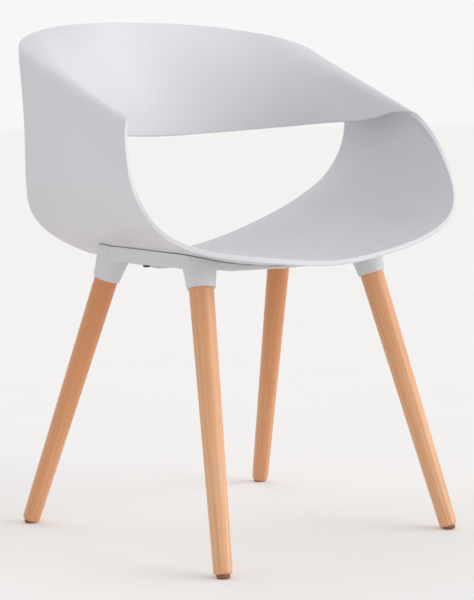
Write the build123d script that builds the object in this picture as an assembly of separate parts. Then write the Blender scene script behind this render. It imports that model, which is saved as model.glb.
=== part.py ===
from build123d import *
import math
import os

import numpy as np

# Dining armchair: one moulded ribbon shell on a moulded underframe with four
# splayed, tapered wooden legs. Millimetres, +Z up, the sitter faces -Y, and +X is
# the sitter's left. The origin is on the floor, under the middle of the chair.

# ---------------------------------------------------------------- driving sizes
SHELL_THICKNESS = 7.6
SHELL_HALF = SHELL_THICKNESS / 2
RIM_ROUND = 1.6          # on both corners of the flat rim
FRAME_GAP = 1.2          # between the underframe's top and the shell
SPAN_POINTS = 5          # points across the ribbon in each section
SECTIONS = 46            # sections along half of the ribbon
OVERRUN = 2              # extra sections past the plane of symmetry at each end

# The ribbon by its half stations, from the middle of the seat, round one arm, to
# the middle of the back. Each holds the edge that starts as the seat's front
# edge and ends as the back's lower edge, a point halfway across, and the edge
# that starts as the seat's rear edge and ends as the back's top edge.
STATIONS = [
    [(0, -221, 417), (0, 15, 408), (0, 234, 403)],         # middle of the seat
    [(75, -218, 422), (75, 15, 411), (75, 226, 407)],
    [(150, -207, 431), (147, 15, 425), (140, 210, 423)],
    [(208, -194, 441), (202, 13, 449), (198, 190, 446)],   # hip curve
    [(254, -185, 457), (246, 7, 476), (242, 169, 470)],
    [(285, -176, 481), (275, -3, 508), (275, 144, 497)],
    [(300, -161, 514), (294, -13, 543), (293, 122, 524)],  # side wall
    [(301, -145, 547), (302, -13, 578), (304, 106, 555)],
    [(294, -128, 583), (304, -10, 612), (310, 96, 595)],
    [(284, -113, 608), (299, 4, 640), (309, 101, 650)],
    [(273, -96, 624), (284, 25, 671), (292, 137, 713)],    # ridge of the arm
    [(269, -64, 626), (267, 51, 682), (274, 164, 734)],
    [(263, -20, 616), (251, 82, 687), (241, 185, 747)],    # inside of the arm
    [(247, 36, 611), (221, 121, 689), (194, 208, 757)],
    [(208, 112, 605), (170, 161, 688), (141, 220, 764)],
    [(146, 163, 599), (110, 188, 685), (88, 226, 768)],
    [(67, 190, 594), (50, 204, 682), (40, 229, 770)],
    [(0, 197, 592), (0, 209, 681), (0, 229, 770)],         # middle of the back
]

# Legs: where each axis meets the floor and where it leaves its socket, x > 0.
LEG_AXES = {
    "front": ((219.5, -231.5, 0), (164.3, -120.4, 385)),
    "rear": ((232.5, 231.5, 0), (169.5, 103, 385)),
}
SIDES = {"left": 1, "right": -1}
LEG_TOP_RADIUS = 17.8
LEG_FOOT_RADIUS = 13.4
LEG_TIP_ROUND = 4.5
LEG_TOP_CHAMFER = 1.5
LEG_SPIGOT = 26.0        # length of the leg inside its socket
GLIDE_RISE = 4.8         # along the axis, from the floor to the wood
GLIDE_RADIUS = 9.4
GLIDE_ROUND = 3.2
GLIDE_THICKNESS = 6.3
NAIL_RADIUS = 1.4
NAIL_DEPTH = 14.0        # into the wood
NAIL_HEAD_RADIUS = 3.5
NAIL_HEAD_HEIGHT = 1.2
NAIL_HEAD_SINK = 2.2     # below the wood's end
NAIL_POINT = 0.8

SOCKET_RADIUS = 18.0
COLLAR_MOUTH_RADIUS = 20.6
COLLAR_TOP_RADIUS = 27.5
COLLAR_FLARE_HEIGHT = 50.0
COLLAR_FLARE_SHARE = 0.42  # of the flare, reached at half its height
COLLAR_HEIGHT = 78.0     # trimmed by the shell's underside
COLLAR_LIP_ROUND = 0.8
SOCKET_WEB = 5.0         # the floor that the leg bolt clamps
BOLT_POCKET_RADIUS = 12.0

# Leg bolt, M8, with its washer and its threaded insert in the leg.
BOLT_RADIUS = 3.9
BOLT_LENGTH = 24.0
BOLT_HEAD_RADIUS = 7.0
BOLT_HEAD_HEIGHT = 5.0
BOLT_SOCKET_SIZE = 5.0
BOLT_HOLE_RADIUS = 4.3
LEG_WASHER_RADIUS = 10.0
LEG_WASHER_THICKNESS = 1.5
LEG_INSERT_RADIUS = 6.0
LEG_INSERT_LENGTH = 15.0
INSERT_FLANGE_HEIGHT = 1.2
INSERT_FLANGE_RADIUS = 8.0
LEG_BORE_DEPTH = 22.0
INSERT_BORE_RADIUS = 4.0
INSERT_GROOVES = 4
INSERT_GROOVE_PITCH = 3.2
INSERT_GROOVE_WIDTH = 1.0
INSERT_GROOVE_DEPTH = 0.6
BOLT_SOCKET_DEPTH = 2.8
HEAD_ROUND = 1.2
TIP_CHAMFER = 0.8
FIT_GAP = 0.05           # between a fixing and the hole that holds it

# Underframe.
RAIL_OUTER_X = 185.0
RAIL_WIDTH = 20.0
RAIL_BOTTOM = 413.0
FRONT_RAIL_Y = -134.0
REAR_RAIL_Y = 115.0
FRONT_RAIL_SAG = 7.0
FRONT_RAIL_BOTTOM = 412.0
REAR_RAIL_MIDDLE = 392.0
CROSS_ENDS = 411.0
CROSS_BOTTOM = 406.5     # under the screw pads
CROSS_SHOULDER_X = 76.0  # where a cross member has come down to its middle part
CROSS_MIDDLE = 399.0
CROSS_BOW = 1.5          # the middle part's own sag
PAD_HALF = 15.0
CROSS_WIDTH = 26.0
SPINE_WIDTH = 34.0
FRAME_BLANK_TOP = 470.0
EDGE_ROUND = 2.5
CORNER_ROUND = 28.0

# Seat fixings, M6 from below into inserts in the shell's bosses.
SEAT_SCREW_X = 130.0
SEAT_SCREW_YS = (-65.0, 55.0)
PAD_TOP = 411.0
PAD_CLEARANCE = 0.8
BOSS_RADIUS = 9.0
BOSS_BLANK = 30.0        # trimmed inside the shell's thickness
SEAT_INSERT_RADIUS = 4.2
SEAT_INSERT_BORE = 3.0
SEAT_INSERT_LENGTH = 7.5
SEAT_INSERT_GROOVES = (2.0, 4.5)  # heights above its lower end
SEAT_INSERT_GROOVE_DEPTH = 0.45
SEAT_SCREW_RADIUS = 2.9
SEAT_SCREW_REACH = 6.5   # into the boss
SEAT_SCREW_HOLE_RADIUS = 3.3
SEAT_HEAD_RADIUS = 5.5
SEAT_HEAD_HEIGHT = 3.3
RECESS_LENGTH = 5.0
RECESS_WIDTH = 1.2
RECESS_DEPTH = 1.8
SEAT_WASHER_RADIUS = 7.0
SEAT_WASHER_THICKNESS = 1.2

# ------------------------------------------------------------------ the ribbon


def closed_spline(knots, values, where):
    """Values and slopes, at the places asked for, of a closed cubic through points."""
    count = len(knots) - 1
    steps = np.diff(knots)
    rises = (np.roll(values, -1, axis=0) - values) / steps[:, None]
    system = np.zeros((count, count))
    right = np.zeros_like(values)
    for i in range(count):
        before, after = steps[i - 1], steps[i]
        system[i, i - 1] += after
        system[i, i] += 2 * (before + after)
        system[i, (i + 1) % count] += before
        right[i] = 3 * (after * rises[i - 1] + before * rises[i])
    slopes = np.linalg.solve(system, right)
    where = np.mod(where, knots[-1])
    i = np.clip(np.searchsorted(knots, where, side="right") - 1, 0, count - 1)
    j = (i + 1) % count
    step = steps[i][:, None]
    t = ((where - knots[i]) / steps[i])[:, None]
    place = (
        (2 * t**3 - 3 * t**2 + 1) * values[i]
        + (t**3 - 2 * t**2 + t) * step * slopes[i]
        + (3 * t**2 - 2 * t**3) * values[j]
        + (t**3 - t**2) * step * slopes[j]
    )
    slope = (
        (6 * t**2 - 6 * t) / step * (values[i] - values[j])
        + (3 * t**2 - 4 * t + 1) * slopes[i]
        + (3 * t**2 - 2 * t) * slopes[j]
    )
    return place, slope


class Ribbon:
    """The shell's middle surface: a closed band, straight or bowed across."""

    def __init__(self, stations):
        half = np.array(stations, float)
        other = half[1:-1][::-1] * [-1, 1, 1]
        loop = np.concatenate([half, other])
        steps = np.linalg.norm(np.roll(loop, -1, axis=0) - loop, axis=2).mean(axis=1)
        self.knots = np.concatenate([[0], np.cumsum(steps)])
        self.values = loop.reshape(len(loop), 9)
        self.middle_of_back = self.knots[len(stations) - 1]

    def section(self, at, low, high):
        """The closed outline across the band, from low to high along its normal."""
        place, slope = closed_spline(self.knots, self.values, np.array([float(at)]))
        place, slope = place.reshape(3, 3), slope.reshape(3, 3)

        def frame(v):
            across = np.array([2 * (v - 0.5) * (v - 1), 4 * v * (1 - v), 2 * v * (v - 0.5)])
            turn = np.array([4 * v - 3, 4 - 8 * v, 4 * v - 1])
            width = turn @ place
            normal = np.cross(across @ slope, width)
            return (
                across @ place,
                normal / np.linalg.norm(normal),
                width / np.linalg.norm(width),
            )

        def bend(face, inward, outward):
            low_side = RIM_ROUND * (1 - math.sqrt(0.5))
            high_side = RIM_ROUND - low_side
            points = [
                face,
                face + inward * low_side + outward * high_side,
                face + (inward + outward) * RIM_ROUND,
            ]
            return Edge.make_three_point_arc(*[Vector(*q) for q in points])

        first = RIM_ROUND / np.linalg.norm(np.array([-3, 4, -1]) @ place)
        last = 1 - RIM_ROUND / np.linalg.norm(np.array([1, -4, 3]) @ place)
        spots = [frame(v) for v in np.linspace(first, last, SPAN_POINTS)]
        upper = [Vector(*(p + n * high)) for p, n, w in spots]
        lower = [Vector(*(p + n * low)) for p, n, w in spots]
        even = list(np.linspace(0, 1, SPAN_POINTS))
        edges = [Edge.make_spline(upper, parameters=even)]
        edges.append(Edge.make_spline(lower[::-1], parameters=even))
        for (p, n, w), side in ((spots[-1], 1), (spots[0], -1)):
            corners = [bend(p + n * high, -n, w * side), bend(p + n * low, n, w * side)]
            edges += corners + [Edge.make_line(corners[0] @ 1, corners[1] @ 1)]
        return Wire(edges)

    def solid(self, low, high, start, end, sections):
        """The band between two offsets of the middle surface, lofted along it."""
        wires = [self.section(at, low, high) for at in np.linspace(start, end, sections)]
        return Part() + Solid.make_loft(wires)


RIBBON = Ribbon(STATIONS)


def make_band(low, high):
    """The whole closed ribbon between two offsets, made as one half and mirrored."""
    length = RIBBON.middle_of_back
    over = OVERRUN * length / (SECTIONS - 1)
    band = RIBBON.solid(low, high, -over, length + over, SECTIONS + 2 * OVERRUN)
    half = split(band, bisect_by=Plane.YZ, keep=Keep.TOP)
    return half + mirror(half, Plane.YZ)


def below(blank, band):
    """The piece of a blank that lies under the seat's part of a band."""
    return Part() + (blank - band).solids().sort_by(Axis.Z)[0]


STAND = (Align.CENTER, Align.CENTER, Align.MIN)
HANG = (Align.CENTER, Align.CENTER, Align.MAX)


def seat_fixings():
    """The four places where the shell is screwed to the underframe."""
    return [(side * SEAT_SCREW_X, y) for side in SIDES.values() for y in SEAT_SCREW_YS]


def make_seat_shell():
    """The ribbon with the bosses under the seat that take the screws."""
    shell = make_band(-SHELL_HALF, SHELL_HALF)
    upper_half = make_band(0, SHELL_HALF)
    for x, y in seat_fixings():
        blank = Pos(x, y, PAD_TOP) * Cylinder(BOSS_RADIUS, BOSS_BLANK, align=STAND)
        shell += below(blank, upper_half)
    for x, y in seat_fixings():
        bore = Cylinder(SEAT_INSERT_RADIUS, SEAT_INSERT_LENGTH, align=STAND)
        shell -= Pos(x, y, PAD_TOP) * bore
    return shell


# --------------------------------------------------------------- the underframe


def leg_places():
    """Each leg's name and the frame of its socket: +Z runs up the leg's axis."""
    for end, (foot, mouth) in LEG_AXES.items():
        for side, sign in SIDES.items():
            start = Vector(sign * foot[0], foot[1], foot[2])
            stop = Vector(sign * mouth[0], mouth[1], mouth[2])
            yield f"{end}_{side}", Plane(stop, x_dir=(0, 1, 0), z_dir=stop - start), stop - start


def make_collar():
    """A flared socket body, from its mouth up, before the leg's bore."""
    flare = COLLAR_TOP_RADIUS - COLLAR_MOUTH_RADIUS
    with BuildPart() as collar:
        with BuildSketch(Plane.XZ):
            with BuildLine():
                Polyline(
                    (COLLAR_TOP_RADIUS, COLLAR_FLARE_HEIGHT),
                    (COLLAR_TOP_RADIUS, COLLAR_HEIGHT),
                    (0, COLLAR_HEIGHT),
                    (0, 0),
                    (COLLAR_MOUTH_RADIUS, 0),
                )
                Spline(
                    (COLLAR_MOUTH_RADIUS, 0),
                    (COLLAR_MOUTH_RADIUS + COLLAR_FLARE_SHARE * flare, COLLAR_FLARE_HEIGHT / 2),
                    (COLLAR_TOP_RADIUS, COLLAR_FLARE_HEIGHT),
                )
            make_face()
        revolve(axis=Axis.Z)
        mouth = collar.faces().sort_by(Axis.Z)[0]
        fillet(mouth.edges(), COLLAR_LIP_ROUND)
    return collar.part


def make_ring():
    """The rectangle of rails between the four collars."""
    depth = REAR_RAIL_Y - FRONT_RAIL_Y
    middle = (REAR_RAIL_Y + FRONT_RAIL_Y) / 2
    height = FRAME_BLANK_TOP - RAIL_BOTTOM
    outer = RectangleRounded(2 * RAIL_OUTER_X, depth, CORNER_ROUND)
    inner = RectangleRounded(
        2 * (RAIL_OUTER_X - RAIL_WIDTH), depth - 2 * RAIL_WIDTH, CORNER_ROUND - RAIL_WIDTH
    )
    ring = extrude(Pos(0, middle, RAIL_BOTTOM) * (outer - inner), height)
    bottom = ring.faces().sort_by(Axis.Z)[0]
    return fillet(bottom.edges(), EDGE_ROUND)


def make_cross_member(y, width, middle):
    """A rail from side to side, through two screw pads, bowed down in its middle."""
    half = [
        (LEG_AXES["front"][1][0], CROSS_ENDS),
        (SEAT_SCREW_X + PAD_HALF, CROSS_BOTTOM),
        (SEAT_SCREW_X - PAD_HALF, CROSS_BOTTOM),
        (CROSS_SHOULDER_X, middle + CROSS_BOW),
    ]
    lower = half + [(0, middle)] + [(-x, z) for x, z in reversed(half)]
    top = [(lower[-1][0], FRAME_BLANK_TOP), (lower[0][0], FRAME_BLANK_TOP)]
    outline = make_face(Polyline(*lower, *top, close=True))
    rail = extrude(Plane((0, y, 0), x_dir=(1, 0, 0), z_dir=(0, -1, 0)) * outline, width / 2, both=True)
    under = rail.edges().filter_by(lambda e: abs((e @ 0.5).Y - y) > width / 4)
    under = under.filter_by(lambda e: (e @ 0.5).Z < CROSS_ENDS and abs((e @ 0).X - (e @ 1).X) > 1)
    return fillet(under, EDGE_ROUND)


def make_front_rail():
    """The front rail, whose lower edge sags a little in the middle."""
    half = LEG_AXES["front"][1][0]
    low, top = FRONT_RAIL_BOTTOM, FRAME_BLANK_TOP
    outline = Polyline((half, low), (half, top), (-half, top), (-half, low))
    sag = ThreePointArc((-half, low), (0, low - FRONT_RAIL_SAG), (half, low))
    face = Plane((0, FRONT_RAIL_Y, 0), x_dir=(1, 0, 0), z_dir=(0, -1, 0)) * make_face(outline + sag)
    rail = extrude(face, -RAIL_WIDTH)
    bottom = rail.faces().sort_by(Axis.Z)[0]
    return fillet(bottom.edges().filter_by(lambda e: e.length > half), EDGE_ROUND)


def make_spine():
    """The short rib that ties the two cross members together along the middle."""
    length = SEAT_SCREW_YS[1] - SEAT_SCREW_YS[0]
    middle = sum(SEAT_SCREW_YS) / 2
    height = FRAME_BLANK_TOP - CROSS_MIDDLE
    return Pos(0, middle, CROSS_MIDDLE) * Box(SPINE_WIDTH, length, height, align=STAND)


def make_base_frame(seat_band):
    """Rails, cross ribs and collars as one moulding, trimmed to sit under the seat."""
    frame = make_ring() + make_front_rail() + make_spine()
    rear_y = REAR_RAIL_Y - RAIL_WIDTH / 2
    frame += make_cross_member(rear_y, RAIL_WIDTH, REAR_RAIL_MIDDLE)
    for y in SEAT_SCREW_YS:
        frame += make_cross_member(y, CROSS_WIDTH, CROSS_MIDDLE)
    collar = make_collar()
    for name, socket, axis in leg_places():
        frame += socket.location * collar
    frame = below(frame, seat_band)
    web = LEG_SPIGOT + SOCKET_WEB
    for name, socket, axis in leg_places():
        bore = Cylinder(SOCKET_RADIUS, LEG_SPIGOT, align=STAND)
        pocket = Pos(0, 0, web) * Cylinder(BOLT_POCKET_RADIUS, COLLAR_HEIGHT, align=STAND)
        hole = Cylinder(BOLT_HOLE_RADIUS, web + 1, align=STAND)
        frame -= socket.location * (bore + pocket + hole)
    for x, y in seat_fixings():
        room = Pos(x, y, PAD_TOP) * Cylinder(BOSS_RADIUS + PAD_CLEARANCE, BOSS_BLANK, align=STAND)
        hole = Pos(x, y, CROSS_BOTTOM) * Cylinder(SEAT_SCREW_HOLE_RADIUS, BOSS_BLANK, align=STAND)
        frame -= room + hole
    return frame


# ------------------------------------------------------------ legs and hardware


def place(socket, shape):
    """A shape drawn up the leg's axis from the socket's mouth, put where it belongs."""
    return socket.location * shape


def drilled(radius, bore, length, low):
    """A ring or tube that stands at a height, with a hole right through it."""
    tube = Cylinder(radius, length, align=STAND) - Cylinder(bore, length, align=STAND)
    return Pos(0, 0, low) * tube


def make_leg(length):
    """A tapered turned leg, drilled for its threaded insert, its bolt and its glide."""
    end = GLIDE_RISE - length
    taper = Pos(0, 0, end) * Cone(LEG_FOOT_RADIUS, LEG_TOP_RADIUS, -end, align=STAND)
    taper = fillet(taper.faces().sort_by(Axis.Z)[0].edges(), LEG_TIP_ROUND)
    spigot = Cylinder(LEG_TOP_RADIUS, LEG_SPIGOT, align=STAND)
    spigot = chamfer(spigot.faces().sort_by(Axis.Z)[-1].edges(), LEG_TOP_CHAMFER)
    leg = taper + spigot
    for radius, depth in (
        (INSERT_FLANGE_RADIUS + FIT_GAP, INSERT_FLANGE_HEIGHT),
        (LEG_INSERT_RADIUS + FIT_GAP, LEG_INSERT_LENGTH),
        (BOLT_HOLE_RADIUS, LEG_BORE_DEPTH),
    ):
        leg -= Pos(0, 0, LEG_SPIGOT) * Cylinder(radius, depth, align=HANG)
    leg -= Pos(0, 0, end) * Cylinder(NAIL_RADIUS + FIT_GAP, NAIL_DEPTH + 1, align=STAND)
    return leg


def make_leg_insert():
    """A flanged threaded insert, flush with the top of its leg."""
    low = LEG_SPIGOT - LEG_INSERT_LENGTH
    insert = drilled(LEG_INSERT_RADIUS, INSERT_BORE_RADIUS, LEG_INSERT_LENGTH, low)
    flange_low = LEG_SPIGOT - INSERT_FLANGE_HEIGHT
    insert += drilled(INSERT_FLANGE_RADIUS, INSERT_BORE_RADIUS, INSERT_FLANGE_HEIGHT, flange_low)
    for turn in range(INSERT_GROOVES):
        height = low + INSERT_GROOVE_PITCH * (turn + 0.5)
        root = LEG_INSERT_RADIUS - INSERT_GROOVE_DEPTH
        insert -= drilled(LEG_INSERT_RADIUS, root, INSERT_GROOVE_WIDTH, height)
    return insert


def make_leg_washer():
    """The plain washer under a leg bolt's head."""
    low = LEG_SPIGOT + SOCKET_WEB
    return drilled(LEG_WASHER_RADIUS, BOLT_HOLE_RADIUS, LEG_WASHER_THICKNESS, low)


def make_leg_bolt():
    """A pan-headed bolt with a hexagon socket, seen as it stands in its pocket."""
    seat = LEG_SPIGOT + SOCKET_WEB + LEG_WASHER_THICKNESS
    head = Pos(0, 0, seat) * Cylinder(BOLT_HEAD_RADIUS, BOLT_HEAD_HEIGHT, align=STAND)
    head = fillet(head.faces().sort_by(Axis.Z)[-1].edges(), HEAD_ROUND)
    hexagon = RegularPolygon(BOLT_SOCKET_SIZE / 2, 6, major_radius=False)
    head -= Pos(0, 0, seat + BOLT_HEAD_HEIGHT) * extrude(hexagon, -BOLT_SOCKET_DEPTH)
    shank = Cylinder(BOLT_RADIUS, BOLT_LENGTH, align=HANG)
    shank = chamfer(shank.faces().sort_by(Axis.Z)[0].edges(), TIP_CHAMFER)
    return head + Pos(0, 0, seat) * shank


def make_glide(socket, axis):
    """The nylon pad under a leg, square to the leg above and level with the floor below."""
    end = GLIDE_RISE - axis.length
    pad = Pos(0, 0, end) * Cylinder(GLIDE_RADIUS, GLIDE_THICKNESS, align=HANG)
    pad = fillet(pad.faces().sort_by(Axis.Z)[0].edges(), GLIDE_ROUND)
    head_top = end - NAIL_HEAD_SINK
    pad -= Pos(0, 0, head_top) * Cylinder(
        NAIL_HEAD_RADIUS + FIT_GAP, NAIL_HEAD_HEIGHT + FIT_GAP, align=HANG
    )
    pad -= Pos(0, 0, end) * Cylinder(NAIL_RADIUS + FIT_GAP, NAIL_HEAD_SINK, align=HANG)
    return split(place(socket, pad), bisect_by=Plane.XY, keep=Keep.TOP)


def make_glide_nail(axis):
    """The nail moulded into a glide and driven up into the leg."""
    end = GLIDE_RISE - axis.length
    head_top = end - NAIL_HEAD_SINK
    nail = Pos(0, 0, head_top) * Cylinder(NAIL_HEAD_RADIUS, NAIL_HEAD_HEIGHT, align=HANG)
    shank = Cylinder(NAIL_RADIUS, NAIL_HEAD_SINK + NAIL_DEPTH, align=STAND)
    shank = chamfer(shank.faces().sort_by(Axis.Z)[-1].edges(), NAIL_POINT)
    return nail + Pos(0, 0, head_top) * shank


def make_seat_insert():
    """A knurled threaded insert, flush with the underside of its boss."""
    insert = drilled(SEAT_INSERT_RADIUS - FIT_GAP, SEAT_INSERT_BORE, SEAT_INSERT_LENGTH, PAD_TOP)
    root = SEAT_INSERT_RADIUS - FIT_GAP - SEAT_INSERT_GROOVE_DEPTH
    for height in SEAT_INSERT_GROOVES:
        insert -= drilled(SEAT_INSERT_RADIUS, root, INSERT_GROOVE_WIDTH, PAD_TOP + height)
    return insert


def make_seat_washer():
    """The washer under a seat screw's head."""
    low = CROSS_BOTTOM - SEAT_WASHER_THICKNESS
    return drilled(SEAT_WASHER_RADIUS, SEAT_SCREW_HOLE_RADIUS, SEAT_WASHER_THICKNESS, low)


def make_seat_screw():
    """A pan-headed cross-recessed screw, head down, up into its insert."""
    top = CROSS_BOTTOM - SEAT_WASHER_THICKNESS
    head = Pos(0, 0, top) * Cylinder(SEAT_HEAD_RADIUS, SEAT_HEAD_HEIGHT, align=HANG)
    head = fillet(head.faces().sort_by(Axis.Z)[0].edges(), HEAD_ROUND)
    arm = Box(RECESS_LENGTH, RECESS_WIDTH, RECESS_DEPTH, align=STAND)
    recess = arm + Rot(0, 0, 90) * arm
    head -= Pos(0, 0, top - SEAT_HEAD_HEIGHT) * recess
    length = PAD_TOP + SEAT_SCREW_REACH - top
    shank = Pos(0, 0, top) * Cylinder(SEAT_SCREW_RADIUS, length, align=STAND)
    shank = chamfer(shank.faces().sort_by(Axis.Z)[-1].edges(), TIP_CHAMFER)
    return head + shank


# -------------------------------------------------------------------- the chair


def make_chair():
    """Every piece by name; identical fasteners share one name as a group."""
    trimming_band = make_band(-SHELL_HALF - FRAME_GAP, SHELL_HALF)
    pieces = {
        "seat_shell": make_seat_shell(),
        "base_frame": make_base_frame(trimming_band),
    }
    groups = {"leg_bolts": [], "leg_washers": [], "leg_inserts": [], "glide_nails": []}
    for name, socket, axis in leg_places():
        pieces[f"leg_{name}"] = place(socket, make_leg(axis.length))
        pieces[f"glide_{name}"] = make_glide(socket, axis)
        groups["leg_bolts"].append(place(socket, make_leg_bolt()))
        groups["leg_washers"].append(place(socket, make_leg_washer()))
        groups["leg_inserts"].append(place(socket, make_leg_insert()))
        groups["glide_nails"].append(place(socket, make_glide_nail(axis)))
    for name, make in (
        ("seat_screws", make_seat_screw),
        ("seat_washers", make_seat_washer),
        ("seat_inserts", make_seat_insert),
    ):
        groups[name] = [Pos(x, y, 0) * make() for x, y in seat_fixings()]
    for name, members in groups.items():
        pieces[name] = Compound(children=[solid for shape in members for solid in shape.solids()])
    return pieces


os.makedirs("parts", exist_ok=True)
for name, piece in make_chair().items():
    export_step(piece, f"parts/{name}.step")
    size = piece.bounding_box().size
    print(f"{name}: {len(piece.solids())} solid(s), {size.X:.1f} x {size.Y:.1f} x {size.Z:.1f} mm")
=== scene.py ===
import math

import bpy
import numpy as np
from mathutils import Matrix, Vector

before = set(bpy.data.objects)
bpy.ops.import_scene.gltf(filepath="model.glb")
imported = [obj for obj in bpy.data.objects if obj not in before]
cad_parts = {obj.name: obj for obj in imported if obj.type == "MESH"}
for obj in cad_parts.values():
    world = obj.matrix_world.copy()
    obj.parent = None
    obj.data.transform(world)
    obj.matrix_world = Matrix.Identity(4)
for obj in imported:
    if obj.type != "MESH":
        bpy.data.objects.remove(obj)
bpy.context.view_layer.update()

# The camera, in metres and degrees.
CAMERA_PLACE = (-1.7538, -2.1514, 0.6498)
CAMERA_TURN = (83.771, 0.627, -39.226)
CAMERA_LENS = 110.58
CAMERA_SENSOR = 36.0

# The studio: a pale room with a dimmer ceiling, a wide soft sun, low in front of the chair and
# to the right of the camera's view, and a weaker one from behind.
WALL_COLOUR = (0.93, 0.93, 0.935)
CEILING_COLOUR = (0.56, 0.56, 0.565)
CEILING_RISE = (0.45, 0.85)      # sine of the elevation where the wall ends and the ceiling starts
KEY = {"turn": (70, 0, 45), "strength": 1.66, "spread": 60}
BACK = {"turn": (40, 0, 180), "strength": 0.42, "spread": 60}
FLOOR_RADIUS = 40.0
FLOOR_SIDES = 96
FLOOR_COLOUR = (0.90, 0.885, 0.87)

MM = 0.001

# The dark wood that the rear pair is mixed towards, and the painted shade on the upper ends of all
# legs.
SHADED_DARK_WOOD = (0.56, 0.20, 0.065)
HALF_RING = 2.6 * MM      # from the pale side of a growth ring to its dark side
RING_WANDER = 9.0         # in half rings
LEG_SHIFT = (0.07, 0.03, 0.0)    # moves each leg to another part of the timber
PAIR_DARKENING = {"front": 0.05, "rear": 0.42}    # how far each pair's wood is mixed towards the dark wood, from 0 to 1, before the painted shade on the upper ends


class Nodes:
    """A material, or the world, that is built node by node."""

    def __init__(self, name, world=None):
        self.material = world or bpy.data.materials.new(name)
        self.material.use_nodes = True
        self.tree = self.material.node_tree
        self.tree.nodes.clear()
        coordinates = self.add("ShaderNodeTexCoord")
        self.place = coordinates.outputs["Object"]
        self.direction = coordinates.outputs["Generated"]

    def add(self, kind, inputs=None, **settings):
        """A node with its settings, and its inputs as values or as links."""
        node = self.tree.nodes.new(kind)
        for key, value in settings.items():
            setattr(node, key, value)
        for key, value in (inputs or {}).items():
            if isinstance(value, bpy.types.NodeSocket):
                self.tree.links.new(value, node.inputs[key])
            else:
                node.inputs[key].default_value = value
        return node

    def math(self, operation, first, second=0.0, clamp=False):
        return self.add("ShaderNodeMath", {0: first, 1: second},
                        operation=operation, use_clamp=clamp).outputs[0]

    def stretch(self, place, scale):
        """Coordinates scaled along each axis, for grain that runs one way."""
        return self.add("ShaderNodeVectorMath", {0: place, 1: scale},
                        operation="MULTIPLY").outputs[0]

    def noise(self, scale, place=None, detail=2.0, roughness=0.5, distortion=0.0):
        """Noise from 0 to 1; scale is in cells per metre."""
        inputs = {"Vector": place or self.place, "Scale": scale, "Detail": detail,
                  "Roughness": roughness, "Distortion": distortion}
        return self.add("ShaderNodeTexNoise", inputs).outputs["Fac"]

    def remap(self, value, low, high, to_low=0.0, to_high=1.0):
        inputs = {"Value": value, "From Min": low, "From Max": high,
                  "To Min": to_low, "To Max": to_high}
        return self.add("ShaderNodeMapRange", inputs).outputs[0]

    def mix(self, share, first, second, blend="MIX"):
        """A colour between two others."""
        node = self.add("ShaderNodeMix", data_type="RGBA", blend_type=blend)
        for index, value in ((0, share), (6, first), (7, second)):
            if isinstance(value, bpy.types.NodeSocket):
                self.tree.links.new(value, node.inputs[index])
            else:
                node.inputs[index].default_value = value if index == 0 else (*value, 1.0)
        return node.outputs[2]

    def bump(self, height, depth, strength=1.0, under=None):
        """A bump whose height of 0 to 1 is depth metres, over another bump if one is given."""
        inputs = {"Height": height, "Distance": depth, "Strength": strength}
        if under is not None:
            inputs["Normal"] = under
        return self.add("ShaderNodeBump", inputs).outputs[0]

    def finish(self, **inputs):
        """The shader, with its inputs by name, spaces written as underscores."""
        named = {key.replace("_", " "): value for key, value in inputs.items()}
        self.output("ShaderNodeOutputMaterial", self.add("ShaderNodeBsdfPrincipled", named))
        return self.material

    def output(self, kind, shader):
        self.tree.links.new(shader.outputs[0], self.add(kind).inputs[0])


def moulded_plastic(name, pale, deep, grain, gloss):
    """Matte moulded plastic: an eroded mould grain, faint flow shades and a slightly uneven gloss."""
    n = Nodes(name)
    flow = n.noise(5.0, detail=3.0, distortion=0.6)
    speck = n.noise(2600.0, detail=1.0)
    colour = n.mix(n.remap(flow, 0.3, 0.7), deep, pale)
    shade = tuple(0.965 * c for c in pale)
    colour = n.mix(n.remap(speck, 0.45, 0.75, 0.0, 0.5), colour, shade)
    rough = n.remap(n.noise(38.0, detail=4.0), 0.25, 0.75, gloss - 0.04, gloss + 0.05)
    pits = n.noise(1.0 / grain, detail=3.0, roughness=0.6)
    swell = n.noise(14.0, detail=1.0)
    wave = n.bump(swell, 0.5 * MM, 0.35)
    normal = n.bump(pits, 0.05 * MM, 0.35, wave)
    return n.finish(Base_Color=colour, Roughness=rough, Normal=normal,
                    Specular_IOR_Level=0.42)


def axis_of(node):
    """The middle of a long round node, and the direction that it runs in, pointing up."""
    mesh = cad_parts[node].data
    points = np.zeros(len(mesh.vertices) * 3)
    mesh.vertices.foreach_get("co", points)
    points = points.reshape(-1, 3)
    low, high = points[:, 2].min(), points[:, 2].max()
    reach = 0.1 * (high - low)
    foot = points[points[:, 2] < low + reach].mean(0)
    head = points[points[:, 2] > high - reach].mean(0)
    along = Vector(head - foot).normalized()
    return Vector((foot + head) / 2), along


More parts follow.
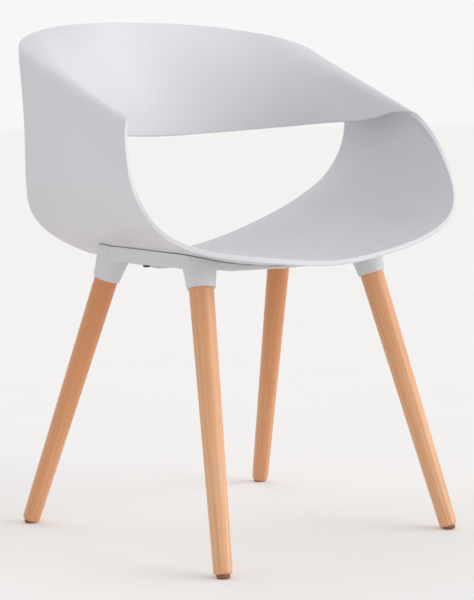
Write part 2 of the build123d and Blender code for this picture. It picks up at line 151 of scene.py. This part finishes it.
def beech(node, seed, depth):
    """Straight-grained beech under a thin satin lacquer, grain along the leg; depth is how far the
    whole leg is mixed towards dark wood, and painted shade darkens the upper end further.
    """
    n = Nodes("beech_" + node)
    middle, along = axis_of(node)
    turn = along.to_track_quat("Z", "X").to_euler()
    # Texture mapping undoes the leg's place and lean, so that Z runs up the leg.
    local = n.add("ShaderNodeMapping", {"Vector": n.place, "Location": middle, "Rotation": turn},
                  vector_type="TEXTURE").outputs[0]
    shift = tuple(seed * step for step in LEG_SHIFT)
    local = n.add("ShaderNodeVectorMath", {0: local, 1: shift},
                  operation="ADD").outputs[0]
    wander = n.noise(9.0, n.stretch(local, (1.0, 1.0, 0.35)), detail=2.0)
    x, y, z = n.add("ShaderNodeSeparateXYZ", {0: local}).outputs[:3]
    # Growth rings: nearly flat sheets that wander a little along the leg.
    sheet = n.math("ADD", n.math("MULTIPLY", x, 1 / HALF_RING),
                   n.math("MULTIPLY", wander, RING_WANDER))
    rings = n.math("PINGPONG", sheet, 1.0)
    late = n.remap(rings, 0.55, 1.0)
    fibre = n.noise(1.0, n.stretch(local, (1500.0, 1500.0, 26.0)), detail=3.0, roughness=0.6)
    streak = n.noise(1.0, n.stretch(local, (260.0, 260.0, 4.0)), detail=3.0)
    fleck = n.noise(1.0, n.stretch(local, (1300.0, 900.0, 190.0)), detail=1.0)
    flecks = n.remap(fleck, 0.63, 0.72)
    pale, mid, dark = (0.78, 0.45, 0.25), (0.68, 0.36, 0.175), (0.42, 0.18, 0.075)
    colour = n.mix(n.remap(streak, 0.3, 0.7), mid, pale)
    colour = n.mix(n.math("MULTIPLY", late, 0.28), colour, dark)
    colour = n.mix(n.remap(fibre, 0.52, 0.75, 0.0, 0.30), colour, dark)
    colour = n.mix(n.math("MULTIPLY", flecks, 0.34), colour, dark)
    # Painted shade: the upper ends, which sit in the seat's shade, are mixed towards dark wood; the
    # rear pair is also darker along its whole length.
    upper_painted_shade = n.remap(z, -0.08, 0.20, depth, depth + 0.40)
    colour = n.mix(upper_painted_shade, colour, SHADED_DARK_WOOD)
    rough = n.remap(fibre, 0.3, 0.8, 0.40, 0.52)
    pores = n.bump(fibre, 0.10 * MM, 0.30)
    normal = n.bump(streak, 0.15 * MM, 0.12, pores)
    return n.finish(Base_Color=colour, Roughness=rough, Normal=normal,
                    Coat_Weight=0.25, Coat_Roughness=0.28, Specular_IOR_Level=0.4)


def nylon_and_painted_shade():
    """Reddish-brown nylon with a fine mould grain and scuffs from the floor, made dark enough to also
    paint the shade on the rounded leg ends.
    """
    n = Nodes("glide_nylon")
    scuff = n.noise(420.0, n.stretch(n.place, (1.0, 3.0, 1.0)), detail=4.0)
    # Painted shade: the dark brown stands in part for the shade on the rounded leg ends; the scuffs
    # are real wear.
    colour = n.mix(n.remap(scuff, 0.5, 0.75, 0.0, 0.5), (0.20, 0.085, 0.04), (0.30, 0.16, 0.10))
    rough = n.remap(scuff, 0.3, 0.7, 0.42, 0.62)
    normal = n.bump(n.noise(2200.0, detail=2.0), 0.04 * MM, 0.5)
    return n.finish(Base_Color=colour, Roughness=rough, Normal=normal)


def metal(name, bright, dull, rough):
    """Plated or machined metal with fine turning marks and a mottled finish."""
    n = Nodes(name)
    mottle = n.noise(300.0, detail=3.0)
    lines = n.noise(1.0, n.stretch(n.place, (300.0, 300.0, 5200.0)), detail=2.0)
    colour = n.mix(n.remap(mottle, 0.35, 0.7), bright, dull)
    uneven = n.remap(lines, 0.3, 0.7, rough - 0.07, rough + 0.08)
    normal = n.bump(lines, 0.02 * MM, 0.4)
    return n.finish(Base_Color=colour, Roughness=uneven, Normal=normal, Metallic=1.0)


def paint(nodes, material):
    """Gives CAD nodes their finish."""
    for node in nodes:
        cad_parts[node].data.materials.clear()
        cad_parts[node].data.materials.append(material)


def finish_chair():
    shell = moulded_plastic("shell_plastic", (0.64, 0.632, 0.665), (0.615, 0.608, 0.64),
                            0.9 * MM, 0.44)
    under = moulded_plastic("frame_plastic", (0.62, 0.625, 0.645), (0.585, 0.59, 0.61),
                            0.7 * MM, 0.40)
    paint(["seat_shell"], shell)
    paint(["base_frame"], under)
    legs = sorted(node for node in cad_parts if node.startswith("leg_front")
                  or node.startswith("leg_rear"))
    for seed, node in enumerate(legs, 1):
        pair = node.split("_")[1]
        paint([node], beech(node, seed, PAIR_DARKENING[pair]))
    paint([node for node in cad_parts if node.startswith("glide_")
           and node != "glide_nails"], nylon_and_painted_shade())
    zinc = metal("zinc_steel", (0.62, 0.63, 0.64), (0.50, 0.51, 0.53), 0.34)
    paint(["leg_bolts", "leg_washers", "leg_inserts", "glide_nails"], zinc)
    black = metal("black_oxide_steel", (0.10, 0.10, 0.105), (0.065, 0.065, 0.07), 0.42)
    paint(["seat_screws", "seat_washers"], black)
    paint(["seat_inserts"], metal("insert_brass", (0.72, 0.50, 0.20), (0.60, 0.40, 0.15), 0.30))


def sun(name, turn, strength, spread):
    """A soft light that falls evenly over the whole floor."""
    light = bpy.data.lights.new(name, "SUN")
    light.energy = strength
    light.angle = math.radians(spread)
    holder = bpy.data.objects.new(name, light)
    holder.rotation_euler = [math.radians(a) for a in turn]
    bpy.context.scene.collection.objects.link(holder)


def make_studio():
    world = bpy.data.worlds.new("room")
    world.use_nodes = True
    n = Nodes("room", world)
    height = n.add("ShaderNodeSeparateXYZ", {0: n.direction}).outputs[2]
    colour = n.mix(n.remap(height, *CEILING_RISE), WALL_COLOUR, CEILING_COLOUR)
    shader = n.add("ShaderNodeBackground", {"Color": colour})
    n.output("ShaderNodeOutputWorld", shader)
    bpy.context.scene.world = world
    sun("key", **KEY)
    sun("back", **BACK)

    mesh = bpy.data.meshes.new("floor")
    turns = [2 * math.pi * k / FLOOR_SIDES for k in range(FLOOR_SIDES)]
    ring = [(FLOOR_RADIUS * math.cos(a), FLOOR_RADIUS * math.sin(a), 0.0) for a in turns]
    mesh.from_pydata(ring, [], [tuple(range(FLOOR_SIDES))])
    floor = bpy.data.objects.new("floor", mesh)
    bpy.context.scene.collection.objects.link(floor)
    n = Nodes("floor_paper")
    tone = n.remap(n.noise(3.0, detail=3.0), 0.3, 0.7)
    colour = n.mix(tone, FLOOR_COLOUR, tuple(0.99 * c for c in FLOOR_COLOUR))
    normal = n.bump(n.noise(700.0, detail=2.0), 0.05 * MM, 0.2)
    mesh.materials.append(n.finish(Base_Color=colour, Roughness=0.95, Normal=normal,
                                   Specular_IOR_Level=0.0))


def make_camera():
    data = bpy.data.cameras.new("camera")
    data.lens = CAMERA_LENS
    data.sensor_width = CAMERA_SENSOR
    data.clip_end = 200.0
    camera = bpy.data.objects.new("camera", data)
    camera.location = CAMERA_PLACE
    camera.rotation_euler = [math.radians(a) for a in CAMERA_TURN]
    bpy.context.scene.collection.objects.link(camera)
    bpy.context.scene.camera = camera


finish_chair()
make_studio()
make_camera()
bpy.context.scene.view_settings.view_transform = "Standard"
